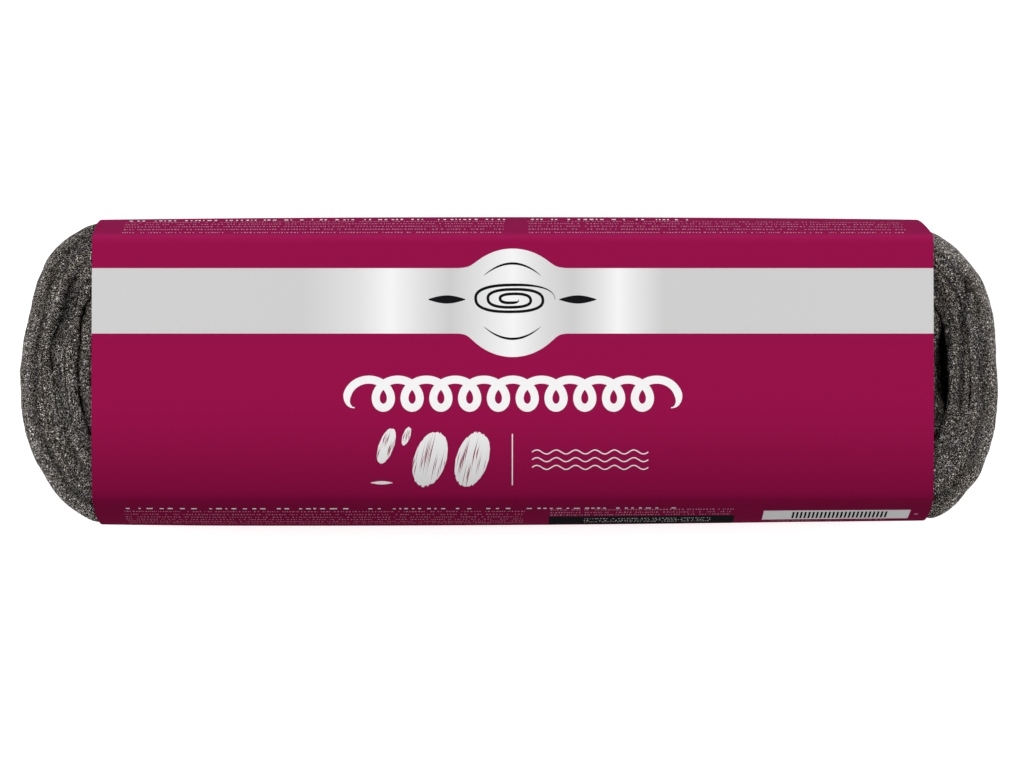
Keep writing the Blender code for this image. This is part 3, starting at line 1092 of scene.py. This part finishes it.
white_marks = [coiled_strand((-0.0503, 0.0528), y=-0.0078, radius=0.0042, half_width=0.00120, loops=11)]
for seed, (centre, half_width, half_height, lean, bristles) in enumerate(DABS, start=1):
    white_marks += brush_dab(centre, half_width, half_height, lean, bristles, seed)
white_marks += [
    tapered_bar(-0.0413, -0.0347, y=-0.0344, half_width=0.00045),
    stroke(np.full(9, 0.0011), np.linspace(-0.0198, -0.0351, 9), half_width=0.00016),
    *[wavy_strand((0.0070, 0.0418), y, height=0.0006, waves=6, half_width=0.00016) for y in HAIRLINES],
    lower_patch(WHITE_PANEL, WHITE_PANEL_ROWS, steps=12),
]
fine_marks = [lower_patch((0.1228, 0.1239), (0.0122, 0.0110), steps=1)]
for row, reach in enumerate(UPPER_ROWS):
    fine_marks += tick_row(TEXT_LEFT, UPPER_TOP + reach, UPPER_TICK, TICK_PITCH, seed=30 + row)
    fine_marks += tick_row(TEXT_RIGHT, UPPER_TOP + reach, UPPER_TICK, TICK_PITCH, seed=40 + row)
white_marks += tick_row(TEXT_LEFT, UPPER_TOP + HEAD_ROW, HEAD_TICK, 2 * TICK_PITCH, seed=50)
white_marks += tick_row((0.0055, 0.0550), UPPER_TOP + HEAD_ROW, HEAD_TICK, 2 * TICK_PITCH, seed=51)
white_marks += tick_row((-0.1163, 0.0540), LOWER_TOP - 0.0050, height=0.0007, pitch=0.0026, seed=60)
for row, reach in enumerate(LOWER_ROWS):
    fine_marks += tick_row(LOWER_TEXT, LOWER_TOP - reach, LOWER_TICK, TICK_PITCH, seed=70 + row)
for row, reach in enumerate(OVER_BLACK_ROWS):
    foot = LOWER_TOP - reach - ON_BLACK_STEP
    fine_marks += tick_row(BLACK_PANEL, LOWER_TOP - reach, OVER_BLACK_TICK, TICK_PITCH, seed=80 + row)
    white_marks += tick_row(ON_BLACK, foot, ON_BLACK_TICK, TICK_PITCH, seed=90 + row, lift=OVERPRINT_LIFT)
fine_marks += tick_row((0.0790, 0.1150), LOWER_TOP - 0.0194, 0.0009, TICK_PITCH, seed=85)

black_marks = [
    spiral((0.0011, 0.0204), half_width=0.0128, half_height=0.0047, turns=3, half_stroke=0.00042),
    tapered_bar(-0.0240, -0.0130, y=0.0204, half_width=0.0011),
    tapered_bar(0.0152, 0.0262, y=0.0204, half_width=0.0011),
    bow((0.0011, 0.0276), half_width=0.0085, rise=0.0036, half_stroke=0.00030),
    bow((0.0011, 0.0122), half_width=0.0085, rise=-0.0036, half_stroke=0.00030),
    lower_patch(BLACK_PANEL, BLACK_PANEL_ROWS, steps=12),
]
for step in range(BARS):
    left = BARS_START + BAR_PITCH * step
    black_marks.append(lower_patch((left, left + BAR_WIDTH), BAR_ROWS, steps=5, lift=OVERPRINT_LIFT))


def sheet_ink(name, colour, lower_side_shade):
    """Matt ink with the card's painted shade and painted light over the sheet."""
    made, tree, shader = new_material(name, Roughness=0.5, Specular_IOR_Level=0.0)
    shaded_ink_colour(tree, shader, colour, lower_side_shade)
    return made


def black_ink():
    """Matt black ink, the same all over."""
    made, _, shader = new_material("black_ink", Roughness=0.5, Specular_IOR_Level=0.0)
    shader.inputs["Base Color"].default_value = (0.009, 0.009, 0.010, 1)
    return made


# The white and fine inks take the card's painted shade, deepest on the lower side.
printed("white_print", white_marks, sheet_ink("white_ink", (0.93, 0.93, 0.93), lower_side_shade=0.53))
printed("fine_print", fine_marks, sheet_ink("fine_ink", (0.62, 0.28, 0.40), lower_side_shade=0.50))
printed("black_print", black_marks, black_ink())


# A white floor under the pad, a soft box overhead, one at each side, and two small lamps that make the cut
# steel glint. The camera looks down on the front panel from a metre above it, a little from the pad's
# lower side.

CAMERA_PLACE = (0.0010, -0.0425, 1.0543)
CAMERA_PITCH = math.radians(2.16)
CAMERA_LENS = 117.2
LAMP_AIM = (0, 0, 0.03)
FLOOR_REACH = 4.0


def soft_box(name, place, size, power):
    """A rectangular lamp that shines from its place towards the pad."""
    light = bpy.data.lights.new(name, "AREA")
    light.shape = "RECTANGLE"
    light.size, light.size_y = size
    light.energy = power
    made = bpy.data.objects.new(name, light)
    made.location = place
    back = np.array(place) - LAMP_AIM
    yaw = math.atan2(back[1], back[0]) + math.pi / 2
    tilt = math.acos(back[2] / np.linalg.norm(back))
    made.rotation_euler = (tilt, 0, yaw)
    bpy.context.scene.collection.objects.link(made)


def white_floor():
    """A plain square in front of the camera, a little lit from within so that it stays near white."""
    x, y = np.meshgrid([-FLOOR_REACH, FLOOR_REACH], [-FLOOR_REACH, FLOOR_REACH], indexing="ij")
    mesh = grid_mesh("floor", np.stack([x, y, 0 * x], axis=-1))
    finish, _, shader = new_material("white_floor", Roughness=0.9, Emission_Strength=0.55)
    shader.inputs["Base Color"].default_value = (0.85, 0.85, 0.85, 1)
    mesh.materials.append(finish)
    floor = bpy.data.objects.new("floor", mesh)
    bpy.context.scene.collection.objects.link(floor)


white_floor()
soft_box("key", (0.0, 0.12, 1.4), (1.8, 1.0), 10.1)
soft_box("fill_left", (-1.3, -0.05, 0.5), (0.8, 0.8), 8.6)
soft_box("fill_right", (1.3, -0.05, 0.5), (0.8, 0.8), 6.8)
soft_box("glint_left", (-0.5, 0.1, 1.0), (0.05, 0.05), 0.9)
soft_box("glint_right", (0.5, -0.1, 1.0), (0.05, 0.05), 0.9)

world = bpy.data.worlds.new("studio")
world.use_nodes = True
world.node_tree.nodes["Background"].inputs["Color"].default_value = (1, 1, 1, 1)
world.node_tree.nodes["Background"].inputs["Strength"].default_value = 0.18
bpy.context.scene.world = world
bpy.context.scene.view_settings.view_transform = "Standard"

lens = bpy.data.cameras.new("camera")
lens.lens = CAMERA_LENS
lens.clip_start = 0.05
camera = bpy.data.objects.new("camera", lens)
camera.location = CAMERA_PLACE
camera.rotation_euler = (CAMERA_PITCH, 0, 0)
bpy.context.scene.collection.objects.link(camera)
bpy.context.scene.camera = camera
